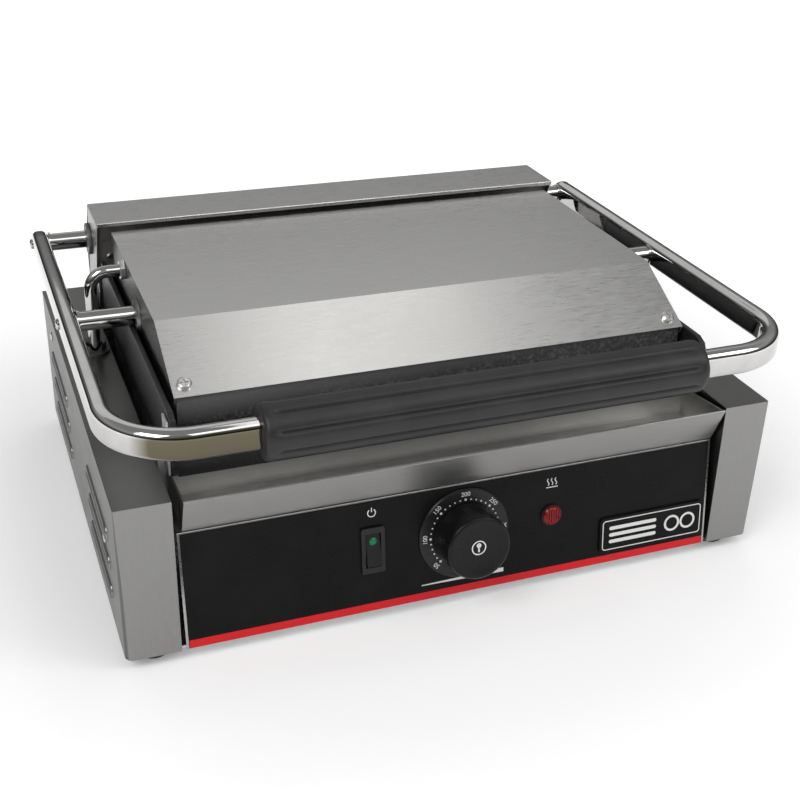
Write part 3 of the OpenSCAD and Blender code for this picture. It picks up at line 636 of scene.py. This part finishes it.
def dial_knob():
    """Knob with a fluted skirt, tapered side and dished face."""
    n, flutes, flute_depth = 180, 60, 0.3
    # radius, and height over the knob's back
    prof = [(4.0, 0.3), (19.9, 0.3), (20.5, 0.8), (20.5, 2.4), (20.35, 2.9), (20.2, 3.6), (20.15, 8),
            (20.1, 13), (20.05, 18.6), (19.95, 19.8), (19.6, 20.7), (18.9, 21.3), (18.1, 21.45),
            (17.3, 21.35), (15.5, 21.0), (13, 20.55), (10, 20.15), (7, 19.85), (3.5, 19.66), (0.4, 19.6)]
    rings = []
    for r, w in prof:
        ring = []
        for i in range(n):
            t = 2 * math.pi * i / n
            fluted = 0.7 < w < 2.6 and r > 20
            cut = flute_depth * (0.5 + 0.5 * math.cos(flutes * t)) if fluted else 0.0
            ring.append(on_panel((r - cut) * math.cos(t), DIAL_U + (r - cut) * math.sin(t), KNOB_W + w))
        rings.append(ring)
    bm = bmesh.new()
    loft(bm, rings)
    return piece("dial_knob", bm, "knob", "knob", ["knob"], 40)


dial_knob()


def marks(name, draw, mat, body="base"):
    bm = bmesh.new()
    draw(bm)
    return piece(name, bm, mat, body, (), 30)


def flat(x, u, w):
    return lambda a, b, t: on_panel(x + a, u + b, w + t)


RING_W = FILM + 2.0                      # face of the dial ring, out of the panel, mm
INK = 0.12                               # thickness of printed marks, mm
SCALE_START, SCALE_STEP = 224, 9         # angle of the first dot from the right, and of each step, degrees
NUMBER_EVERY = 5                         # steps from one number to the next
DOTS_R, NUMBERS_R, NUMBER_SIZE = 22.2, 25.6, 4.0


def dial_marks(bm):
    """Dots round the scale from the start mark to the end mark, every fifth one larger."""
    place = flat(0, DIAL_U, RING_W)
    for i in range(31):
        t = math.radians(SCALE_START - SCALE_STEP * i)
        r = 0.52 if i % NUMBER_EVERY else 0.78
        disc(bm, (DOTS_R * math.cos(t), DOTS_R * math.sin(t)), r, place, INK, 12)


marks("dial_marks", dial_marks, "white_ink")


def number(text, angle, r, size):
    """A number standing on the dial ring, read from the middle."""
    cu = bpy.data.curves.new("n" + text, "FONT")
    cu.body = text
    cu.size = size / 1000
    cu.align_x, cu.align_y = "CENTER", "CENTER"
    cu.extrude = INK / 2000
    tmp = bpy.data.objects.new("tmp", cu)
    bpy.context.scene.collection.objects.link(tmp)
    me = bpy.data.meshes.new_from_object(tmp)
    bpy.data.objects.remove(tmp)
    t = math.radians(angle)
    turn = t - math.pi / 2
    bm = bmesh.new()
    bm.from_mesh(me)
    for v in bm.verts:
        a, b = v.co.x * 1000, v.co.y * 1000
        ca, sa = math.cos(turn), math.sin(turn)
        v.co = on_panel(r * math.cos(t) + a * ca - b * sa, DIAL_U + r * math.sin(t) + a * sa + b * ca,
                        RING_W + INK / 2 + v.co.z * 1000)
    return bm


def dial_numbers():
    for i in range(6):
        text = str(50 * (i + 1))
        bm = number(text, SCALE_START - NUMBER_EVERY * SCALE_STEP * i, NUMBERS_R, NUMBER_SIZE)
        piece("dial_" + text, bm, "white_ink", "base", (), 30)


dial_numbers()


def knob_icon(bm):
    """A ring with a thermometer stroke, in the middle of the dished face."""
    place = flat(0, DIAL_U, KNOB_W + 19.75)
    ring_plate(bm, (0, 0), 3.9, 4.6, place, 0.1)
    bar(bm, (0, -2.2), (0, 1.4), 1.0, place, 0.1)
    ring_plate(bm, (0, 1.5), 0.7, 1.5, place, 0.1)


marks("knob_icon", knob_icon, "white_ink", "knob")


def stripe(bm):
    plate(bm, [(-169.0, 0.95), (169.0, 0.95), (169.0, 6.0), (-169.0, 6.0)], flat(0, 0, FILM), 0.12)


marks("red_stripe", stripe, "red_ink")


def icons(bm):
    # power: an open ring with a bar
    place = flat(-58, 65, FILM)
    ring_plate(bm, (0, 0), 2.1, 2.7, place, INK, 125, 415, 40)
    bar(bm, (0, 0.9), (0, 3.0), 0.6, place, INK)
    # heat: three rising waves over a line
    place = flat(58.5, 63.5, FILM)
    for x in (-2.6, 0, 2.6):
        wave = [(x + 0.55 * math.sin(k / 10 * 2 * math.pi), -1.6 + 0.45 * k) for k in range(11)]
        stroke(bm, wave, 0.55, place, INK)
    bar(bm, (-3.6, -2.9), (3.6, -2.9), 0.55, place, INK)
    # temperature: a wedge that grows to the right
    place = flat(-0.5, 10.9, FILM)
    plate(bm, [(-27, -0.3), (27, -1.4), (27, 1.4), (-27, 0.3)], place, INK)


marks("panel_icons", icons, "white_ink")


def badge_mark(bm):
    """A plain border, three bars and two rings on the blank plate."""
    middle = (130, 20.5)                 # of the badge on the panel, mm
    place = flat(*middle, FILM + 1.6)
    outer = rounded(71.5, 20.5, 2.2, 6)
    inner = rounded(70.3, 19.3, 1.7, 6)
    n = len(outer)
    edges = ((inner, 0), (inner, INK), (outer, INK), (outer, 0))
    rows = [[bm.verts.new(place(a, b, w)) for a, b in line] for line, w in edges]
    for r0, r1 in zip(rows, rows[1:] + rows[:1]):
        for i in range(n):
            j = (i + 1) % n
            bm.faces.new((r0[i], r0[j], r1[j], r1[i]))
    for u in (-4.6, 0, 4.6):
        plate(bm, [(a - 14, b + u) for a, b in rounded(34, 2.4, 1.19, 5)], place, INK)
    for x in (14.5, 26):
        ring_plate(bm, (x, 0), 4.1, 5.6, place, INK)


marks("badge_mark", badge_mark, "white_ink")


# ------------------------------------------------------------------ pressed louvres
def louvres(side):
    """A raised pressed rim round each of the six cooling slots of one side box."""
    bm = bmesh.new()
    sgn = -1 if side == "left" else 1
    half, reach = 33.0, 3.4              # straight half length, and middle of the rim from the axis
    rim_w, rim_h, sunk = 2.0, 1.5, 0.05  # half width and height of the rim, and its depth in the sheet
    across = 9                           # points across the rim
    slots_y, slots_z = (73, 238), (22, 42, 62)
    for y in slots_y:
        for z in slots_z:
            rings = []
            for c, q in circle_points(48):
                mid_y = y + (half if c > 0 else -half) * min(1, abs(c) * 6)
                ring = []
                for j in range(across):
                    f = math.pi * j / (across - 1)
                    rad = reach + rim_w * math.cos(f)
                    ring.append(at(sgn * (HALF_W - sunk + rim_h * math.sin(f)), mid_y + rad * c, z + rad * q))
                rings.append([bm.verts.new(p) for p in ring])
            for a, b in zip(rings, rings[1:] + rings[:1]):
                for j in range(across):
                    n = (j + 1) % across
                    bm.faces.new((a[j], a[n], b[n], b[j]))
    return piece("louvres_" + side, bm, "box_steel", "base", (), 50)


louvres("left")
louvres("right")


# ------------------------------------------------------------------ studio
FLOOR_REACH = 6                          # half the floor's side, m
FLOOR_GLOW = (0.25, 1.0, 0.22, 0.75)     # two distances, m, and the floor's own light at each
SKY = ((0.14, 0.05), (0.3, 0.18), (0.48, 0.44), (0.75, 0.3))   # height of the direction, and brightness
HORIZON, ZENITH = 0.03, 0.3
# name, place, aim, width, power and height of each soft light
SOFT_LIGHTS = (
    ("top", (0.5, 0.05, 1.9), (0.5, 0.05, 0), 0.6, 4.3, 1.9),
    ("key", (-1.5, -1.0, 1.9), (0, 0, 0.1), 1.2, 26, 1.2),
    ("fill", (1.6, -1.2, 1.6), (0, 0, 0.1), 1.0, 13, 1.0),
    ("front", (0.3, -1.25, 1.75), (0, -0.1, 0.1), 0.8, 4, 0.8),
    ("back", (0.5, 4.2, 2.6), (0.5, 4.2, 0), 5.0, 20, 3.4),
)


def studio_floor():
    me = bpy.data.meshes.new("floor")
    bm = bmesh.new()
    bmesh.ops.create_grid(bm, x_segments=2, y_segments=2, size=FLOOR_REACH)
    bm.to_mesh(me)
    bm.free()
    floor = bpy.data.objects.new("floor", me)
    bpy.context.scene.collection.objects.link(floor)
    m = Mat("floor_paper", (0.86, 0.86, 0.86), 0.0, 0.9)
    m.paint(m.tint(m.noise(5, 2, 0.5), (0.855, 0.855, 0.855), (0.87, 0.87, 0.87)))
    reach = m.tree.nodes.new("ShaderNodeVectorMath")
    reach.operation = "LENGTH"
    m.link(m.coords.outputs["Object"], reach.inputs[0])
    m.bsdf.inputs["Emission Color"].default_value = (1, 1, 1, 1)
    m.link(m.span(reach.outputs["Value"], *FLOOR_GLOW), m.bsdf.inputs["Emission Strength"])
    me.materials.append(m.mat)


def studio_sky():
    """A world that brightens with height; the camera itself sees plain white above the floor."""
    world = bpy.data.worlds.new("studio")
    bpy.context.scene.world = world
    world.use_nodes = True
    nodes, link = world.node_tree.nodes, world.node_tree.links.new
    bg = nodes["Background"]
    co = nodes.new("ShaderNodeTexCoord")
    sep = nodes.new("ShaderNodeSeparateXYZ")
    ramp = nodes.new("ShaderNodeValToRGB")
    link(co.outputs["Generated"], sep.inputs[0])
    link(sep.outputs[2], ramp.inputs[0])
    link(ramp.outputs[0], bg.inputs["Color"])
    stops = ramp.color_ramp.elements
    stops[0].position, stops[0].color = 0.0, (HORIZON, HORIZON, HORIZON, 1)
    stops[1].position, stops[1].color = 1.0, (ZENITH, ZENITH, ZENITH, 1)
    for pos, v in SKY:
        stops.new(pos).color = (v, v, v, 1)
    bg.inputs["Strength"].default_value = 1.0
    white = nodes.new("ShaderNodeBackground")
    white.inputs["Color"].default_value = (1, 1, 1, 1)
    seen = nodes.new("ShaderNodeLightPath")
    mix = nodes.new("ShaderNodeMixShader")
    link(seen.outputs["Is Camera Ray"], mix.inputs[0])
    link(bg.outputs[0], mix.inputs[1])
    link(white.outputs[0], mix.inputs[2])
    link(mix.outputs[0], nodes["World Output"].inputs["Surface"])


def soft_light(name, place, aim, width, power, height):
    data = bpy.data.lights.new(name, "AREA")
    data.shape = "RECTANGLE"
    data.size, data.size_y = width, height
    data.energy = power
    o = bpy.data.objects.new(name, data)
    bpy.context.scene.collection.objects.link(o)
    o.location = place
    o.rotation_euler = (Vector(aim) - Vector(place)).to_track_quat("-Z", "Y").to_euler()


studio_floor()
bpy.context.scene.view_settings.view_transform = "Standard"
studio_sky()
for row in SOFT_LIGHTS:
    soft_light(*row)
